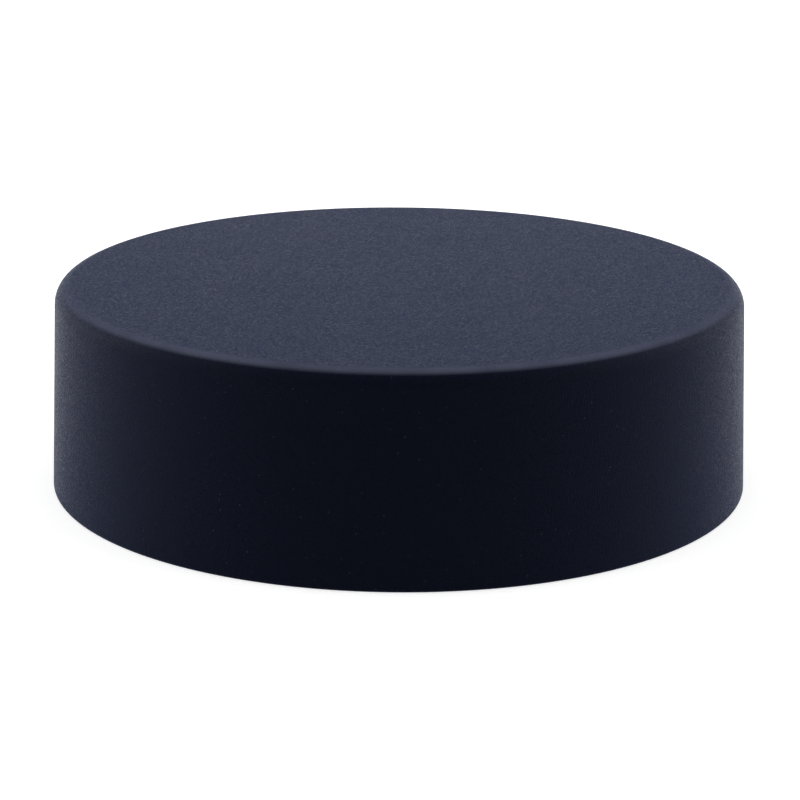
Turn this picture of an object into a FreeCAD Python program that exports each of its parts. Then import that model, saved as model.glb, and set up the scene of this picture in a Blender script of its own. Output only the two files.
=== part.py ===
import FreeCAD, Part
import math
import os
from FreeCAD import Placement, Rotation, Vector

# A push-down-and-turn closure for a wide-mouth jar, standing on its rim.
# A smooth outer shell spins freely round a threaded inner cap. Pushed down, its lugs drop between
# the inner cap's lugs and turn it. A foam disc in the inner cap seals the neck.
# Lengths are in millimetres and angles in degrees. +Z points up through the flat top, and the
# origin is the centre of the shell's bottom rim. Radii and heights follow each other from the
# neck thread outwards and from the rim upwards.

# Neck thread inside the inner cap
thread_root_d = 53.0
thread_height = 1.1
thread_pitch = 25.4 / 6
thread_base = 1.7
thread_crest = 0.6
thread_end_gap = 0.05
thread_root_bury = 0.15

# Plain land at the mouth, which leads the neck into the thread
lead_in_length = 1.2
lead_in_step = 0.4
mouth_bevel = 0.2

# Inner cap
cap_depth = 7.5
cap_wall = 1.0
cap_panel = 1.5
cap_taper = 1.0
cap_corner_bevel = 0.6

# Hook-shaped flange round the inner cap's mouth: flat below, bevelled above
flange_reach = 0.5
flange_land = 0.6
flange_bevel = 0.6
flange_clearance = 0.3

# Sealing disc
liner_thickness = 1.0
liner_clearance = 0.2

# The two rings of lugs that lock together when the shell is pushed down
lug_count = 24
lug_ring_width = 5.0
lug_ring_inset = 1.3
cap_lug_height = 2.8
shell_lug_height = 1.6
slot_floor = 1.6
drive_face_draft = 4.0
slip_face_slope = 50.0
flank_clearance = 0.3
lug_free_gap = 0.3
lug_root_gap = 0.1

# Outer shell
shell_wall = 1.2
shell_top = 1.5
shell_draft = 2.0
shell_corner_bevel = 0.5
top_edge_r = 1.55
top_edge_runs = 5
rim_bevel = 0.2

# Bead inside the shell's rim, on which the flange sits: flat above, bevelled below
bead_bevel = 0.6
bead_land = 0.5
bead_catch = 0.6
seat_clearance = 0.05

# Heights, from the rim upwards
bead_top_z = bead_bevel + bead_land
mouth_z = bead_top_z + seat_clearance
liner_z = mouth_z + cap_depth
panel_z = liner_z + liner_thickness
cap_top_z = panel_z + cap_panel
cap_lug_tip_z = cap_top_z + cap_lug_height
shell_lug_tip_z = cap_lug_tip_z + lug_free_gap
ceiling_z = shell_lug_tip_z + shell_lug_height
shell_height = ceiling_z + shell_top

# Travel of the push: the taller lugs stop short of the floor that faces them
push_travel = min(cap_lug_height, shell_lug_height) + lug_free_gap - lug_root_gap

# Radii, from the thread outwards
bore_r = thread_root_d / 2
land_r = bore_r + lead_in_step
skirt_r = bore_r + cap_wall
flange_r = skirt_r + flange_reach
flange_land_z = mouth_z + flange_land
liner_r = bore_r - liner_clearance
lug_outer_r = skirt_r - lug_ring_inset
lug_inner_r = lug_outer_r - lug_ring_width
draft_slope = math.tan(math.radians(shell_draft))
pushed_flange_z = flange_land_z + push_travel
shell_inner_r = flange_r + flange_clearance + pushed_flange_z * draft_slope
shell_outer_r = shell_inner_r + shell_wall
bead_r = flange_r - bead_catch


def outline_face(outline):
    """A flat face in the XZ plane from (radius, height) points in order."""
    points = [Vector(radius, 0, height) for radius, height in outline]
    return Part.Face(Part.makePolygon(points + points[:1]))


def turned(outline):
    """The solid that an outline makes when it is turned about the Z axis."""
    return outline_face(outline).revolve(Vector(0, 0, 0), Vector(0, 0, 1), 360)


def radial_prism(outline, inner_r, outer_r):
    """A prism along +X from (sideways, height) points, between two distances from the axis."""
    points = [Vector(inner_r, across, height) for across, height in outline]
    return Part.Face(Part.makePolygon(points + points[:1])).extrude(Vector(outer_r - inner_r, 0, 0))


def rotated(shape, angle):
    """A copy of the shape turned about the Z axis."""
    return shape.transformed(Placement(Vector(0, 0, 0), Rotation(Vector(0, 0, 1), angle)).toMatrix())


def around_axis(shape, first_angle):
    """One copy of the shape for each lug, evenly spaced about the Z axis."""
    return [rotated(shape, first_angle + 360 * i / lug_count) for i in range(lug_count)]


def slot_sides(rise):
    """How far a slot reaches to its drive side and its slip side, at a rise above its floor."""
    drive = slot_floor / 2 + rise * math.tan(math.radians(drive_face_draft))
    slip = slot_floor / 2 + rise / math.tan(math.radians(slip_face_slope))
    return drive, slip


def cap_lugs():
    """The inner cap's lugs: each is what two straight slots leave of one block of the ring."""
    half_pitch = 180 / lug_count
    inner_half = lug_inner_r * math.tan(math.radians(half_pitch))
    outer_half = lug_outer_r * math.tan(math.radians(half_pitch))
    corners = [
        Vector(lug_inner_r, -inner_half, cap_top_z),
        Vector(lug_outer_r, -outer_half, cap_top_z),
        Vector(lug_outer_r, outer_half, cap_top_z),
        Vector(lug_inner_r, inner_half, cap_top_z),
    ]
    block = Part.Face(Part.makePolygon(corners + corners[:1])).extrude(Vector(0, 0, cap_lug_height))
    floor_drive, floor_slip = slot_sides(0)
    top_drive, top_slip = slot_sides(cap_lug_height)
    slot = radial_prism([
        (-floor_drive, cap_top_z),
        (floor_slip, cap_top_z),
        (top_slip, cap_lug_tip_z),
        (-top_drive, cap_lug_tip_z),
    ], lug_inner_r - lug_ring_width, lug_outer_r + lug_ring_width)
    lug = block.cut([rotated(slot, -half_pitch), rotated(slot, half_pitch)])
    return around_axis(lug, half_pitch)


def shell_lugs():
    """The shell's lugs: each fits a slot of the inner cap, short of its sides by a clearance."""
    tip_rise = lug_root_gap + max(0, cap_lug_height - shell_lug_height)
    drive_gap = flank_clearance / math.cos(math.radians(drive_face_draft))
    slip_gap = flank_clearance / math.sin(math.radians(slip_face_slope))
    tip_drive, tip_slip = slot_sides(tip_rise)
    root_drive, root_slip = slot_sides(tip_rise + shell_lug_height)
    lug = radial_prism([
        (drive_gap - tip_drive, shell_lug_tip_z),
        (tip_slip - slip_gap, shell_lug_tip_z),
        (root_slip - slip_gap, ceiling_z),
        (drive_gap - root_drive, ceiling_z),
    ], lug_inner_r, lug_outer_r)
    return around_axis(lug, 0)


def thread_ridge():
    """The right-hand ridge inside the bore, with a round run-out at each end."""
    flank_run = (thread_base - thread_crest) / 2 * thread_root_bury / thread_height
    crest_r = bore_r - thread_height
    root_r = bore_r + thread_root_bury
    crest_half = thread_crest / 2
    root_half = thread_base / 2 + flank_run
    section = outline_face([
        (crest_r, -crest_half),
        (crest_r, crest_half),
        (root_r, root_half),
        (root_r, -root_half),
    ])
    half_section = outline_face([(crest_r, 0), (crest_r, crest_half), (root_r, root_half), (root_r, 0)])
    first_z = mouth_z + lead_in_length + thread_end_gap + root_half
    rise = liner_z - thread_end_gap - root_half - first_z
    path = Part.Wire(Part.makeHelix(thread_pitch, rise, bore_r))
    ridge = path.makePipeShell([section.OuterWire], True, True)
    first_end = half_section.revolve(Vector(0, 0, 0), Vector(1, 0, 0), 180)
    to_last_end = Rotation(Vector(0, 0, 1), 360 * rise / thread_pitch)
    flipped = to_last_end.multiply(Rotation(Vector(1, 0, 0), 180))
    last_end = first_end.transformed(Placement(Vector(0, 0, rise), flipped).toMatrix())
    ridge = ridge.fuse([first_end, last_end])
    ridge.translate(Vector(0, 0, first_z))
    return ridge


def top_edge():
    """The shell's rounded top edge: an arc from the drafted side to the flat top, in short runs."""
    centre_z = shell_height - top_edge_r
    side_r = shell_outer_r - centre_z * draft_slope
    centre_r = side_r - top_edge_r / math.cos(math.radians(shell_draft))
    outline = []
    for i in range(top_edge_runs + 1):
        angle = math.radians(shell_draft + (90 - shell_draft) * i / top_edge_runs)
        radius = centre_r + top_edge_r * math.cos(angle)
        outline.append((radius, centre_z + top_edge_r * math.sin(angle)))
    return outline


def outer_shell():
    """The smooth cover: flat top, drafted side, bead inside the rim, lugs inside the top."""
    ceiling_r = shell_inner_r - ceiling_z * draft_slope
    outline = [
        (0, ceiling_z),
        (ceiling_r - shell_corner_bevel, ceiling_z),
        (ceiling_r, ceiling_z - shell_corner_bevel),
        (shell_inner_r - bead_top_z * draft_slope, bead_top_z),
        (bead_r, bead_top_z),
        (bead_r, bead_bevel),
        (shell_inner_r, 0),
        (shell_outer_r - rim_bevel, 0),
        (shell_outer_r - rim_bevel * draft_slope, rim_bevel),
        *top_edge(),
        (0, shell_height),
    ]
    return turned(outline).fuse(shell_lugs()).removeSplitter()


def inner_cap():
    """The threaded cap: land and thread inside, flange at the mouth, lugs on its top."""
    land_top_z = mouth_z + lead_in_length
    flange_top_z = flange_land_z + flange_bevel
    skirt_top_r = skirt_r - (cap_top_z - flange_top_z) * math.tan(math.radians(cap_taper))
    outline = [
        (0, panel_z),
        (bore_r, panel_z),
        (bore_r, land_top_z),
        (land_r, land_top_z),
        (land_r, mouth_z + mouth_bevel),
        (land_r + mouth_bevel, mouth_z),
        (flange_r, mouth_z),
        (flange_r, flange_land_z),
        (skirt_r, flange_top_z),
        (skirt_top_r, cap_top_z - cap_corner_bevel),
        (skirt_top_r - cap_corner_bevel, cap_top_z),
        (0, cap_top_z),
    ]
    return turned(outline).fuse(cap_lugs() + [thread_ridge()]).removeSplitter()


def liner():
    """The foam disc that lies against the inner cap's panel, behind the thread."""
    return Part.makeCylinder(liner_r, liner_thickness, Vector(0, 0, liner_z))


os.makedirs("parts", exist_ok=True)
for make_piece in (outer_shell, inner_cap, liner):
    piece = make_piece()
    piece.exportStep(f"parts/{make_piece.__name__}.step")
    print(make_piece.__name__, len(piece.Solids), "solid", round(piece.Volume, 1), "cubic millimetres")
print("outside diameter", round(2 * shell_outer_r, 2), "height", round(shell_height, 2))
print("push travel", round(push_travel, 2))
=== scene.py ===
import bmesh
import bpy
import math
from mathutils import Matrix, Quaternion, Vector


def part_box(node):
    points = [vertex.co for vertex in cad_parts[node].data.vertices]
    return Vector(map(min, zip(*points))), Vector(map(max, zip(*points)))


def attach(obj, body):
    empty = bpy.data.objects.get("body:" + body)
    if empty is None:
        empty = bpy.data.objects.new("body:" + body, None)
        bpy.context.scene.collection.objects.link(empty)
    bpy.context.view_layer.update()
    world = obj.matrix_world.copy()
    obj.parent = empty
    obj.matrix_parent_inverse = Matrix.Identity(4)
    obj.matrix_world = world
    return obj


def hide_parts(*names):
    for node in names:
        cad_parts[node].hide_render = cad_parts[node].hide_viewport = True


# Dresses the push-down-and-turn closure: the outer shell with its soft-touch face, the threaded
# inner cap and the foam liner. Lengths are in metres and angles in degrees, in the frame's axes.

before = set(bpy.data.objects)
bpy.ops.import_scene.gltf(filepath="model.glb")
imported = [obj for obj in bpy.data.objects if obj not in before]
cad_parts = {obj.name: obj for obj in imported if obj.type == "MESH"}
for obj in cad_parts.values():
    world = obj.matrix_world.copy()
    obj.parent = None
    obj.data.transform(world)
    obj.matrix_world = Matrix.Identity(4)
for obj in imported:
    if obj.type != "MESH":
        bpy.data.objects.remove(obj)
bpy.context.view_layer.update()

MM = 0.001

# Round pieces
around = 256
around_small = 48
corner_steps = 5
round_profile = 0.5
on_axis = 1e-6 * MM
weld_reach = 0.001 * MM
smooth_below = 35.0
large_face_weight = 100

# Outer shell
shell_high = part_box("outer_shell")[1]
shell_wall = 1.2 * MM
shell_top = 1.5 * MM
shell_draft = 2.0
top_edge_r = 1.55 * MM
top_edge_steps = 20
rim_round = 0.2 * MM
shell_corner_r = 0.5 * MM

# Bead inside the shell's rim
bead_bevel = 0.6 * MM
bead_land = 0.5 * MM
bead_catch = 0.6 * MM
bead_round = 0.12 * MM

# Inner cap
cap_low, cap_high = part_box("inner_cap")
cap_wall = 1.0 * MM
cap_panel = 1.5 * MM
cap_taper = 1.0
cap_corner_r = 0.6 * MM
lead_in_length = 1.2 * MM
lead_in_step = 0.4 * MM
mouth_round = 0.2 * MM
flange_reach = 0.5 * MM
flange_land = 0.6 * MM
flange_bevel = 0.6 * MM
flange_round = 0.12 * MM

# Neck thread
thread_height = 1.1 * MM
thread_pitch = 25.4 * MM / 6
thread_base = 1.7 * MM
thread_crest = 0.6 * MM
thread_crest_round = 0.2 * MM
thread_end_gap = 0.05 * MM
thread_bury = 0.15 * MM
thread_steps = 240

# Lugs
lug_count = 24
lug_ring_width = 5.0 * MM
lug_ring_inset = 1.3 * MM
lug_root_gap = 0.1 * MM
cap_lug_height = 2.8 * MM
shell_lug_height = 1.6 * MM
slot_floor = 1.6 * MM
drive_face_draft = 4.0
slip_face_slope = 50.0
flank_clearance = 0.3 * MM
lug_round = 0.12 * MM
lug_round_steps = 3
lug_bury = 0.3 * MM

# Liner
liner_low, liner_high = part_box("liner")
liner_round = 0.08 * MM

# Coating on the outer shell. Colours are linear red, green and blue, and a noise is its scale, detail
# and roughness
soft_touch_colour = (0.0019, 0.0026, 0.0054)
soft_touch_pigment = 0.25
soft_touch_specular = 0.0225
soft_touch_sheen = 0.075
soft_touch_sheen_roughness = 0.52
soft_touch_sheen_tint = (0.08, 0.25, 1.0)
soft_touch_rough_low = 0.39
soft_touch_rough_high = 0.41
soft_touch_cloud = (170.0, 3.0, 0.6)
soft_touch_mottle = 0.16
soft_touch_mottle_scale = 9000.0
soft_touch_grain = (7000.0, 3.0, 0.65)
soft_touch_grain_strength = 1.0
soft_touch_grain_depth = 0.05 * MM

# Pale specks in the coating, with distances as shares of a cell
speck_colour = (0.022, 0.025, 0.034)
speck_scale = 1900.0
speck_core = 0.05
speck_reach = 0.17
speck_free_share = 0.60

# Painted highlight on the shell's top edge: a pale band that stands in for light on the edge. Its own
# places are shares of the edge's radius, and those where it fades out towards the back are shares of the
# flat top's radius, along Y
edge_highlight_colour = (0.049, 0.053, 0.077)
edge_highlight_run_in = 0.35
edge_highlight_bottom = 0.29
edge_highlight_full = 0.14
edge_highlight_front = -0.90
edge_highlight_back = 0.10
highlight_breakup = (260.0, 2.0, 0.5)
highlight_breakup_low = 0.3
highlight_breakup_high = 0.6
highlight_breakup_least = 0.75

# Bare plastic inside the shell, and how far past the inner faces the coating takes over
bare_inside_colour = (0.036, 0.036, 0.038)
bare_fade_start = 0.1 * MM
bare_fade_end = 0.3 * MM

# Plastic of the inner cap
inner_plastic_colour = (0.012, 0.012, 0.013)
inner_plastic_darker = 0.8
inner_plastic_lighter = 1.3
inner_plastic_specular = 0.4
inner_plastic_rough_low = 0.34
inner_plastic_rough_high = 0.46
inner_plastic_flow = (220.0, 4.0, 0.6)
inner_plastic_spark = (4200.0, 3.0, 0.6)
inner_plastic_spark_strength = 0.4
inner_plastic_spark_depth = 0.02 * MM

# Foam of the liner
foam_colour = (0.86, 0.86, 0.84)
foam_darker = 0.94
foam_specular = 0.3
foam_roughness = 0.75
foam_tone = (350.0, 3.0, 0.6)
foam_cell_scale = 3200.0
foam_cell_strength = 0.5
foam_cell_depth = 0.06 * MM

# Range of a noise that a roughness is spread over
noise_low = 0.3
noise_high = 0.7

# Floor
floor_colour = (0.80, 0.80, 0.80)
floor_reach = 3.0
floor_sides = 96
floor_lift = 0.47

# Camera, fitted to the photograph's outline of the cap
camera_place = Vector((0.0, -223.91 * MM, 72.9 * MM))
camera_aim = Vector((0.09 * MM, -0.57 * MM, 6.73 * MM))
camera_roll = 0.363
camera_lens = 122.4
camera_sensor = 36.0
camera_near = 10.0 * MM

# Light. A lamp's way is its azimuth from the camera's side and its elevation
white = (1.0, 1.0, 1.0)
world_strength = 0.60
overhead_strength = 0.3
overhead_width = 70.0
overhead_way = (180.0, 65.0)
side_strength = 3.0
side_width = 90.0
left_way = (-100.0, 5.0)
right_way = (100.0, 5.0)


def rounded(outline):
    """The outline's points, with an arc at each corner that has a radius and a number of steps."""
    points = []
    for i, (radius, height, corner_r, steps) in enumerate(outline):
        corner = Vector((radius, height))
        if corner_r == 0:
            points.append(corner)
            continue
        back = (Vector(outline[i - 1][:2]) - corner).normalized()
        ahead = (Vector(outline[i + 1][:2]) - corner).normalized()
        half_angle = back.angle(ahead) / 2
        centre = corner + (back + ahead).normalized() * corner_r / math.sin(half_angle)
        start = corner + back * corner_r / math.tan(half_angle) - centre
        end = corner + ahead * corner_r / math.tan(half_angle) - centre
        first = math.atan2(start.y, start.x)
        sweep = math.remainder(math.atan2(end.y, end.x) - first, 2 * math.pi)
        for k in range(steps + 1):
            angle = first + sweep * k / steps
            points.append(centre + corner_r * Vector((math.cos(angle), math.sin(angle))))
    return points


def turned(name, points, count):
    """A closed mesh turned about Z, from (radius, height) points that start and end on the axis."""
    bm = bmesh.new()
    rings = []
    turns = [2 * math.pi * k / count for k in range(count)]
    for radius, height in points:
        if radius < on_axis:
            rings.append([bm.verts.new((0, 0, height))])
            continue
        rings.append([
            bm.verts.new((radius * math.cos(angle), radius * math.sin(angle), height))
            for angle in turns
        ])
    for lower, upper in zip(rings, rings[1:]):
        for k in range(count):
            corners = [
                lower[k % len(lower)],
                lower[(k + 1) % count % len(lower)],
                upper[(k + 1) % count % len(upper)],
                upper[k % len(upper)],
            ]
            bm.faces.new(list(dict.fromkeys(corners)))
    return as_object(name, bm)


def as_object(name, bm):
    """A scene object from a finished bmesh, with its faces turned outwards."""
    bmesh.ops.recalc_face_normals(bm, faces=bm.faces)
    mesh = bpy.data.meshes.new(name)
    bm.to_mesh(mesh)
    bm.free()
    piece = bpy.data.objects.new(name, mesh)
    bpy.context.scene.collection.objects.link(piece)
    return piece


def add_block(bm, root, tip, turn):
    """Adds a block from four root and four tip corners, rounded but for its root, turned about Z."""
    low = [bm.verts.new(corner) for corner in root]
    high = [bm.verts.new(corner) for corner in tip]
    faces = [bm.faces.new(low), bm.faces.new(high)]
    for i in range(len(low)):
        j = (i + 1) % len(low)
        faces.append(bm.faces.new([low[i], low[j], high[j], high[i]]))
    edges = {edge for face in faces for edge in face.edges if not set(edge.verts) <= set(low)}
    made = bmesh.ops.bevel(bm, geom=list(edges), offset=lug_round, segments=lug_round_steps,
                           affect="EDGES", profile=round_profile)
    verts = set(made["verts"]) | {v for v in low + high if v.is_valid}
    bmesh.ops.rotate(bm, verts=list(verts), cent=(0, 0, 0), matrix=Matrix.Rotation(turn, 3, "Z"))


def united(piece, *others):
    """Joins other closed pieces to a piece as one closed mesh, and removes them."""
    for other in others:
        join = piece.modifiers.new("join", "BOOLEAN")
        join.operation = "UNION"
        join.solver = "MANIFOLD"
        join.object = other
        bpy.context.view_layer.update()
        graph = bpy.context.evaluated_depsgraph_get()
        done = bpy.data.meshes.new_from_object(piece.evaluated_get(graph))
        piece.modifiers.clear()
        old = piece.data
        piece.data = done
        bpy.data.meshes.remove(old)
        bpy.data.objects.remove(other)
    weld(piece.data)
    piece.data.name = piece.name
    return piece


def weld(mesh):
    """Draws together the points that a union leaves almost in one place."""
    bm = bmesh.new()
    bm.from_mesh(mesh)
    bmesh.ops.remove_doubles(bm, verts=bm.verts, dist=weld_reach)
    bm.to_mesh(mesh)
    bm.free()


def finish_piece(piece, material, body, node):
    """Smooths a piece, gives it its material and puts it in the place of its node."""
    for face in piece.data.polygons:
        face.use_smooth = True
    piece.data.set_sharp_from_angle(angle=math.radians(smooth_below))
    even = piece.modifiers.new("even_shading", "WEIGHTED_NORMAL")
    even.keep_sharp = True
    even.weight = large_face_weight
    piece.data.materials.clear()
    piece.data.materials.append(material)
    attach(piece, body)
    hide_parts(node)


def slot_sides(rise):
    """How far a slot reaches to its drive side and its slip side, at a rise above its floor."""
    drive = slot_floor / 2 + rise * math.tan(math.radians(drive_face_draft))
    slip = slot_floor / 2 + rise / math.tan(math.radians(slip_face_slope))
    return drive, slip


def lug_radii():
    """The lug rings' inner and outer radius, from the flange."""
    outer = cap_high.x - flange_reach - lug_ring_inset
    return outer - lug_ring_width, outer


def outer_shell():
    """The smooth cover: flat top, drafted side, bead inside the rim, lugs inside the top."""
    slope = math.tan(math.radians(shell_draft))
    rim_r = shell_high.x
    inner_r = rim_r - shell_wall
    height = shell_high.z
    ceiling_z = height - shell_top
    bead_r = cap_high.x - bead_catch
    bead_top_z = bead_bevel + bead_land
    body = turned("cap_shell", rounded([
        (0, ceiling_z, 0, 0),
        (inner_r - ceiling_z * slope, ceiling_z, shell_corner_r, corner_steps),
        (inner_r - bead_top_z * slope, bead_top_z, bead_round, corner_steps),
        (bead_r, bead_top_z, bead_round, corner_steps),
        (bead_r, bead_bevel, bead_round, corner_steps),
        (inner_r, 0, bead_round, corner_steps),
        (rim_r, 0, rim_round, corner_steps),
        (rim_r - height * slope, height, top_edge_r, top_edge_steps),
        (0, height, 0, 0),
    ]), around)
    return united(body, shell_lugs(ceiling_z))


def shell_lugs(ceiling_z):
    """The shell's lugs, each a block that fits a slot between two lugs of the inner cap."""
    inner, outer = lug_radii()
    tip_rise = lug_root_gap + cap_lug_height - shell_lug_height
    root_rise = tip_rise + shell_lug_height + lug_bury
    drive_gap = flank_clearance / math.cos(math.radians(drive_face_draft))
    slip_gap = flank_clearance / math.sin(math.radians(slip_face_slope))

    def corners(rise, height):
        drive, slip = slot_sides(rise)
        sides = (drive_gap - drive, slip - slip_gap)
        return [Vector((r, s, height)) for r, s in (
            (inner, sides[0]), (outer, sides[0]), (outer, sides[1]), (inner, sides[1]))]

    bm = bmesh.new()
    for i in range(lug_count):
        root = corners(root_rise, ceiling_z + lug_bury)
        tip = corners(tip_rise, ceiling_z - shell_lug_height)
        add_block(bm, root, tip, 2 * math.pi * i / lug_count)
    return as_object("shell_lugs", bm)


def cap_lugs(cap_top_z):
    """The inner cap's lugs, each what two straight slots leave of one block of the ring."""
    inner, outer = lug_radii()
    half_pitch = math.pi / lug_count

    def beside_slot(radius, offset, side):
        """Where a slot's side, at an offset from the slot's middle, crosses a distance from the axis."""
        along = (radius - offset * math.sin(half_pitch)) / math.cos(half_pitch)
        return side * (along * math.sin(half_pitch) - offset * math.cos(half_pitch))

    def corners(rise):
        drive, slip = slot_sides(rise)
        height = cap_top_z + rise
        return [Vector((r, beside_slot(r, offset, side), height)) for r, offset, side in (
            (inner, slip, -1), (outer, slip, -1), (outer, drive, 1), (inner, drive, 1))]

    bm = bmesh.new()
    for i in range(lug_count):
        add_block(bm, corners(-lug_bury), corners(cap_lug_height), (2 * i + 1) * half_pitch)
    return as_object("cap_lugs", bm)


def thread_section():
    """One side of the ridge, from its root to the middle of its crest, as (radius, half width)."""
    bore_r = cap_high.x - flange_reach - cap_wall
    flank_run = (thread_base - thread_crest) / 2 * thread_bury / thread_height
    crest_r = bore_r - thread_height
    root_half = thread_base / 2 + flank_run
    return rounded([
        (bore_r + thread_bury, root_half, 0, 0),
        (crest_r, thread_crest / 2, thread_crest_round, corner_steps),
        (crest_r, 0, 0, 0),
    ])


def thread_ridge(mouth_z):
    """The right-hand ridge inside the bore."""
    side = thread_section()
    section = side[:-1] + [Vector((radius, -half)) for radius, half in reversed(side[:-1])]
    first_z, rise = thread_span(mouth_z)
    bm = bmesh.new()
    rings = []
    for k in range(thread_steps + 1):
        height = rise * k / thread_steps
        angle = 2 * math.pi * height / thread_pitch
        rings.append([
            bm.verts.new((radius * math.cos(angle), radius * math.sin(angle), first_z + height + half))
            for radius, half in section
        ])
    for lower, upper in zip(rings, rings[1:]):
        for i in range(len(section)):
            j = (i + 1) % len(section)
            bm.faces.new([lower[i], lower[j], upper[j], upper[i]])
    bm.faces.new(rings[0])
    bm.faces.new(rings[-1])
    return as_object("thread_ridge", bm)


def thread_span(mouth_z):
    """The height of the ridge's first end, and how far it rises to its last."""
    root_half = thread_section()[0].y
    first_z = mouth_z + lead_in_length + thread_end_gap + root_half
    return first_z, liner_low.z - thread_end_gap - root_half - first_z


def thread_end(height, rise):
    """The round run-out at one end of the ridge, turned about a line out of the axis."""
    end = turned("thread_end", [(half, radius) for radius, half in reversed(thread_section())]
                 + [(0, thread_section()[0].x)], around_small)
    lie_down = Matrix.Rotation(math.pi / 2, 4, "Y")
    turn = Matrix.Rotation(2 * math.pi * rise / thread_pitch, 4, "Z")
    end.data.transform(Matrix.Translation((0, 0, height + rise)) @ turn @ lie_down)
    return end


def inner_cap():
    """The threaded cap: land and thread inside, flange at the mouth, lugs on its top."""
    flange_r = cap_high.x
    skirt_r = flange_r - flange_reach
    bore_r = skirt_r - cap_wall
    land_r = bore_r + lead_in_step
    mouth_z = cap_low.z
    land_top_z = mouth_z + lead_in_length
    flange_land_z = mouth_z + flange_land
    flange_top_z = flange_land_z + flange_bevel
    panel_z = liner_high.z
    cap_top_z = panel_z + cap_panel
    top_r = skirt_r - (cap_top_z - flange_top_z) * math.tan(math.radians(cap_taper))
    body = turned("threaded_cap", rounded([
        (0, panel_z, 0, 0),
        (bore_r, panel_z, 0, 0),
        (bore_r, land_top_z, flange_round, corner_steps),
        (land_r, land_top_z, 0, 0),
        (land_r, mouth_z, mouth_round, corner_steps),
        (flange_r, mouth_z, flange_round, corner_steps),
        (flange_r, flange_land_z, flange_round, corner_steps),
        (skirt_r, flange_top_z, 0, 0),
        (top_r, cap_top_z, cap_corner_r, corner_steps),
        (0, cap_top_z, 0, 0),
    ]), around)
    first_z, rise = thread_span(mouth_z)
    ends = [thread_end(first_z, 0), thread_end(first_z, rise)]
    return united(body, thread_ridge(mouth_z), *ends, cap_lugs(cap_top_z))


def liner():
    """The foam disc behind the thread, with softly cut edges."""
    radius = liner_high.x
    return turned("foam_liner", rounded([
        (0, liner_low.z, 0, 0),
        (radius, liner_low.z, liner_round, corner_steps),
        (radius, liner_high.z, liner_round, corner_steps),
        (0, liner_high.z, 0, 0),
    ]), around)


class Nodes:
    """A material or world that is put together from its nodes."""

    def __init__(self, owner):
        owner.use_nodes = True
        self.tree = owner.node_tree
        self.tree.nodes.clear()

    def add(self, kind, settings=(), **inputs):
        """Adds a node. Its settings are attributes, and its inputs are values or nodes' outputs."""
        node = self.tree.nodes.new(kind)
        for name, value in dict(settings).items():
            setattr(node, name, value)
        for name, value in inputs.items():
            found = [s for s in node.inputs if s.name.replace(" ", "_") == name and s.enabled]
            socket = found[0] if found else node.inputs[int(name.strip("_"))]
            if isinstance(value, bpy.types.NodeSocket):
                self.tree.links.new(value, socket)
            else:
                socket.default_value = value
        return node


def ranged(nodes, value, low, high, to_low, to_high):
    """A value carried over from one range to another, held at its ends."""
    node = nodes.add("ShaderNodeMapRange", Value=value, From_Min=low, From_Max=high,
                     To_Min=to_low, To_Max=to_high)
    return node.outputs["Result"]


def mixed(nodes, factor, first, second):
    """One colour mixed into another."""
    node = nodes.add("ShaderNodeMix", {"data_type": "RGBA"}, Factor=factor, A=first, B=second)
    return next(socket for socket in node.outputs if socket.enabled)


def worked(nodes, operation, *values):
    """A number worked out from others."""
    inputs = {f"_{i}": value for i, value in enumerate(values)}
    return nodes.add("ShaderNodeMath", {"operation": operation}, **inputs).outputs[0]


def product(nodes, first, second):
    """Two numbers multiplied."""
    return worked(nodes, "MULTIPLY", first, second)


def noise(nodes, place, kind):
    """A noise over the surface, of a kind given as its scale, detail and roughness."""
    scale, detail, roughness = kind
    node = nodes.add("ShaderNodeTexNoise", Vector=place, Scale=scale, Detail=detail, Roughness=roughness)
    return node.outputs["Fac"]


def cell_number(nodes, cells):
    """The random number that each cell of a texture of cells has."""
    return nodes.add("ShaderNodeSeparateColor", Color=cells.outputs["Color"]).outputs["Red"]


def bumped(nodes, height, strength, depth):
    """The way that a face points, tilted by a height."""
    node = nodes.add("ShaderNodeBump", Strength=strength, Distance=depth, Height=height)
    return node.outputs["Normal"]


def opaque(colour):
    """A colour with full alpha."""
    return (*colour, 1.0)


def scaled(colour, share):
    """A colour made lighter or darker, with full alpha."""
    return (*(share * c for c in colour), 1.0)


def from_axis(nodes, apart):
    """The distance from the axis, from a place's separate coordinates."""
    flat = nodes.add("ShaderNodeCombineXYZ", X=apart.outputs["X"], Y=apart.outputs["Y"])
    length = nodes.add("ShaderNodeVectorMath", {"operation": "LENGTH"}, _0=flat.outputs[0])
    return length.outputs["Value"]


def painted_highlight_mask(nodes, place):
    """Up to 1 where a highlight is painted on the upper part of the shell's top edge, strongest in front
    and gone at the back.
    """
    apart = nodes.add("ShaderNodeSeparateXYZ", Vector=place)
    flat_r = shell_high.x - shell_high.z * math.tan(math.radians(shell_draft)) - top_edge_r
    full_r = flat_r + edge_highlight_run_in * top_edge_r
    bottom_z = shell_high.z - edge_highlight_bottom * top_edge_r
    full_z = shell_high.z - edge_highlight_full * top_edge_r
    outwards = ranged(nodes, from_axis(nodes, apart), flat_r, full_r, 0.0, 1.0)
    upwards = ranged(nodes, apart.outputs["Z"], bottom_z, full_z, 0.0, 1.0)
    forwards = ranged(nodes, apart.outputs["Y"], edge_highlight_front * flat_r, edge_highlight_back * flat_r, 1.0, 0.0)
    # A noise breaks up the painted highlight along the edge.
    breakup = noise(nodes, place, highlight_breakup)
    uneven = ranged(nodes, breakup, highlight_breakup_low, highlight_breakup_high, highlight_breakup_least, 1.0)
    return product(nodes, product(nodes, outwards, upwards), product(nodes, forwards, uneven))


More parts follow.
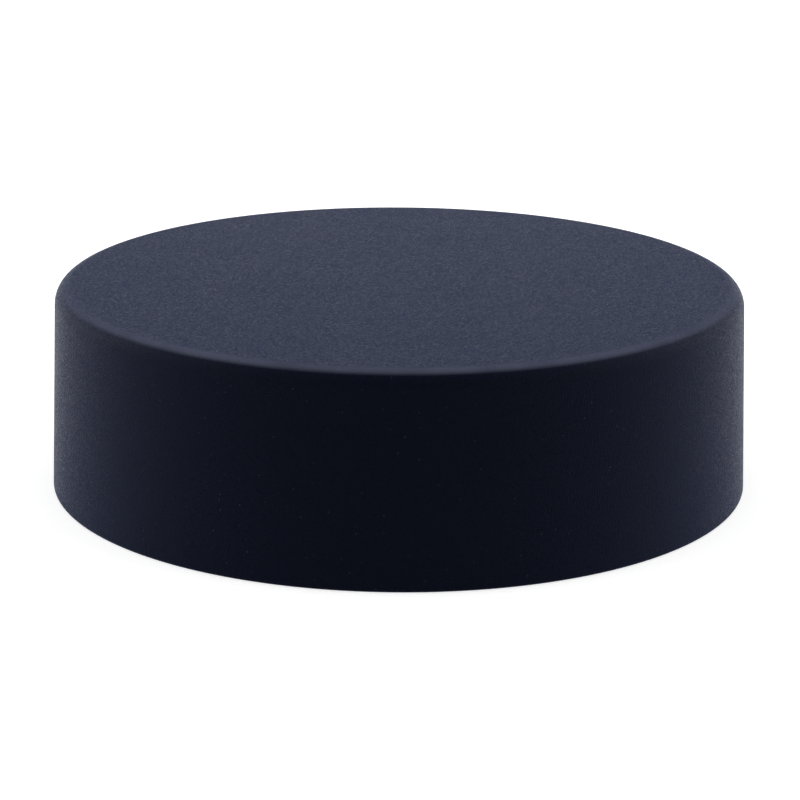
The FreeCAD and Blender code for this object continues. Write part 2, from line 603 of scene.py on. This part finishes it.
def bare_mask(nodes, place):
    """1 on the shell's inside, where the spray that coats the outside doesn't reach."""
    apart = nodes.add("ShaderNodeSeparateXYZ", Vector=place)
    rise = apart.outputs["Z"]
    slope = math.tan(math.radians(shell_draft))
    drafted = worked(nodes, "MULTIPLY_ADD", rise, slope, from_axis(nodes, apart))
    inner_r = shell_high.x - shell_wall
    ceiling_z = shell_high.z - shell_top
    within = ranged(nodes, drafted, inner_r + bare_fade_start, inner_r + bare_fade_end, 1.0, 0.0)
    below = ranged(nodes, rise, ceiling_z + bare_fade_start, ceiling_z + bare_fade_end, 1.0, 0.0)
    return product(nodes, within, below)


def speck_mask(nodes, place):
    """Up to 1 in the middle of a speck. Each cell's random number says how strong its speck is."""
    cells = nodes.add("ShaderNodeTexVoronoi", Vector=place, Scale=speck_scale)
    near = ranged(nodes, cells.outputs["Distance"], speck_core, speck_reach, 1.0, 0.0)
    chosen = ranged(nodes, cell_number(nodes, cells), speck_free_share, 1.0, 0.0, 1.0)
    return product(nodes, near, chosen)


def soft_touch():
    """Matt blue-black coating: fine grain, pale specks and a painted highlight on the top edge. The
    inside is bare.
    """
    material = bpy.data.materials.new("soft_touch_blue_black")
    nodes = Nodes(material)
    place = nodes.add("ShaderNodeTexCoord").outputs["Object"]
    mottle = nodes.add("ShaderNodeTexVoronoi", Vector=place, Scale=soft_touch_mottle_scale)
    tone = cell_number(nodes, mottle)
    shade = mixed(nodes, tone, scaled(soft_touch_colour, 1 - soft_touch_pigment),
                  scaled(soft_touch_colour, 1 + soft_touch_pigment))
    # Painted highlight: the top edge is lightened in front, standing in for light on it.
    highlighted = mixed(nodes, painted_highlight_mask(nodes, place), shade, opaque(edge_highlight_colour))
    specked = mixed(nodes, speck_mask(nodes, place), highlighted, opaque(speck_colour))
    colour = mixed(nodes, bare_mask(nodes, place), specked, opaque(bare_inside_colour))
    clouded = ranged(nodes, noise(nodes, place, soft_touch_cloud), noise_low, noise_high,
                     soft_touch_rough_low, soft_touch_rough_high)
    mottled = ranged(nodes, tone, 0.0, 1.0, -soft_touch_mottle, soft_touch_mottle)
    roughness = worked(nodes, "ADD", clouded, mottled)
    normal = bumped(nodes, noise(nodes, place, soft_touch_grain), soft_touch_grain_strength,
                    soft_touch_grain_depth)
    shader = nodes.add("ShaderNodeBsdfPrincipled", Base_Color=colour, Roughness=roughness, Normal=normal)
    shader.inputs["Specular IOR Level"].default_value = soft_touch_specular
    shader.inputs["Sheen Weight"].default_value = soft_touch_sheen
    shader.inputs["Sheen Roughness"].default_value = soft_touch_sheen_roughness
    shader.inputs["Sheen Tint"].default_value = opaque(soft_touch_sheen_tint)
    nodes.add("ShaderNodeOutputMaterial", Surface=shader.outputs["BSDF"])
    return material


def moulded_black():
    """Black polypropylene with the satin of a fine-spark mould."""
    material = bpy.data.materials.new("moulded_black")
    nodes = Nodes(material)
    place = nodes.add("ShaderNodeTexCoord").outputs["Object"]
    flow = noise(nodes, place, inner_plastic_flow)
    colour = mixed(nodes, flow, scaled(inner_plastic_colour, inner_plastic_darker),
                   scaled(inner_plastic_colour, inner_plastic_lighter))
    roughness = ranged(nodes, flow, noise_low, noise_high,
                       inner_plastic_rough_low, inner_plastic_rough_high)
    normal = bumped(nodes, noise(nodes, place, inner_plastic_spark), inner_plastic_spark_strength,
                    inner_plastic_spark_depth)
    shader = nodes.add("ShaderNodeBsdfPrincipled", Base_Color=colour, Roughness=roughness, Normal=normal)
    shader.inputs["Specular IOR Level"].default_value = inner_plastic_specular
    nodes.add("ShaderNodeOutputMaterial", Surface=shader.outputs["BSDF"])
    return material


def foam():
    """White closed-cell foam with fine cells."""
    material = bpy.data.materials.new("white_foam")
    nodes = Nodes(material)
    place = nodes.add("ShaderNodeTexCoord").outputs["Object"]
    cells = nodes.add("ShaderNodeTexVoronoi", {"feature": "SMOOTH_F1"},
                      Vector=place, Scale=foam_cell_scale)
    tone = noise(nodes, place, foam_tone)
    colour = mixed(nodes, tone, scaled(foam_colour, foam_darker), opaque(foam_colour))
    normal = bumped(nodes, cells.outputs["Distance"], foam_cell_strength, foam_cell_depth)
    shader = nodes.add("ShaderNodeBsdfPrincipled", Base_Color=colour, Normal=normal)
    shader.inputs["Roughness"].default_value = foam_roughness
    shader.inputs["Specular IOR Level"].default_value = foam_specular
    nodes.add("ShaderNodeOutputMaterial", Surface=shader.outputs["BSDF"])
    return material


def seen_directly(nodes):
    """1 for rays from the camera, or by way of gloss or glass, and 0 for all others."""
    path = nodes.add("ShaderNodeLightPath")
    either = worked(nodes, "MAXIMUM", path.outputs["Is Camera Ray"], path.outputs["Is Glossy Ray"])
    return worked(nodes, "MAXIMUM", either, path.outputs["Is Transmission Ray"])


def make_floor():
    """A pale floor: matt, and lifted to white where it is seen. It doesn't show from below."""
    bm = bmesh.new()
    bmesh.ops.create_circle(bm, cap_ends=True, segments=floor_sides, radius=floor_reach)
    floor = as_object("floor", bm)
    if floor.data.polygons[0].normal.z < 0:
        floor.data.flip_normals()
    material = bpy.data.materials.new("pale_floor")
    nodes = Nodes(material)
    matt = nodes.add("ShaderNodeBsdfDiffuse", Color=opaque(floor_colour))
    lift = product(nodes, seen_directly(nodes), floor_lift)
    glow = nodes.add("ShaderNodeEmission", Color=opaque(white), Strength=lift)
    lit = nodes.add("ShaderNodeAddShader", _0=matt.outputs[0], _1=glow.outputs[0])
    clear = nodes.add("ShaderNodeBsdfTransparent")
    behind = nodes.add("ShaderNodeNewGeometry").outputs["Backfacing"]
    shown = nodes.add("ShaderNodeMixShader", _0=behind, _1=lit.outputs[0], _2=clear.outputs[0])
    nodes.add("ShaderNodeOutputMaterial", Surface=shown.outputs[0])
    floor.data.materials.append(material)
    floor.visible_diffuse = False
    floor.visible_shadow = False


def make_light():
    """Even white surroundings, a faint lamp overhead and a strong soft one at each side."""
    world = bpy.data.worlds.new("studio")
    bpy.context.scene.world = world
    nodes = Nodes(world)
    strength = ranged(nodes, seen_directly(nodes), 0.0, 1.0, world_strength, 1.0)
    sky = nodes.add("ShaderNodeBackground", Color=opaque(white), Strength=strength)
    nodes.add("ShaderNodeOutputWorld", Surface=sky.outputs[0])
    add_lamp("overhead", overhead_strength, overhead_width, *overhead_way)
    add_lamp("left", side_strength, side_width, *left_way)
    add_lamp("right", side_strength, side_width, *right_way)


def add_lamp(name, strength, width, azimuth, elevation):
    """A broad soft lamp far away, at an azimuth from the camera's side and an elevation."""
    lamp = bpy.data.lights.new(name, "SUN")
    lamp.energy = strength
    lamp.angle = math.radians(width)
    level = math.cos(math.radians(elevation))
    away = Vector((
        math.sin(math.radians(azimuth)) * level,
        -math.cos(math.radians(azimuth)) * level,
        math.sin(math.radians(elevation)),
    ))
    placed = bpy.data.objects.new(name, lamp)
    placed.rotation_mode = "QUATERNION"
    placed.rotation_quaternion = away.to_track_quat("Z", "Y")
    bpy.context.scene.collection.objects.link(placed)


def make_camera():
    """The camera at the photograph's place, aim and lens."""
    data = bpy.data.cameras.new("camera")
    data.sensor_width = camera_sensor
    data.lens = camera_lens
    data.clip_start = camera_near
    camera = bpy.data.objects.new("camera", data)
    camera.location = camera_place
    camera.rotation_mode = "QUATERNION"
    aim = (camera_aim - camera_place).to_track_quat("-Z", "Y")
    camera.rotation_quaternion = aim @ Quaternion((0, 0, 1), math.radians(camera_roll))
    bpy.context.scene.collection.objects.link(camera)
    bpy.context.scene.camera = camera


finish_piece(outer_shell(), soft_touch(), "outer_shell", "outer_shell")
finish_piece(inner_cap(), moulded_black(), "inner_cap", "inner_cap")
finish_piece(liner(), foam(), "liner", "liner")
make_floor()
make_light()
make_camera()
bpy.context.scene.view_settings.view_transform = "Standard"
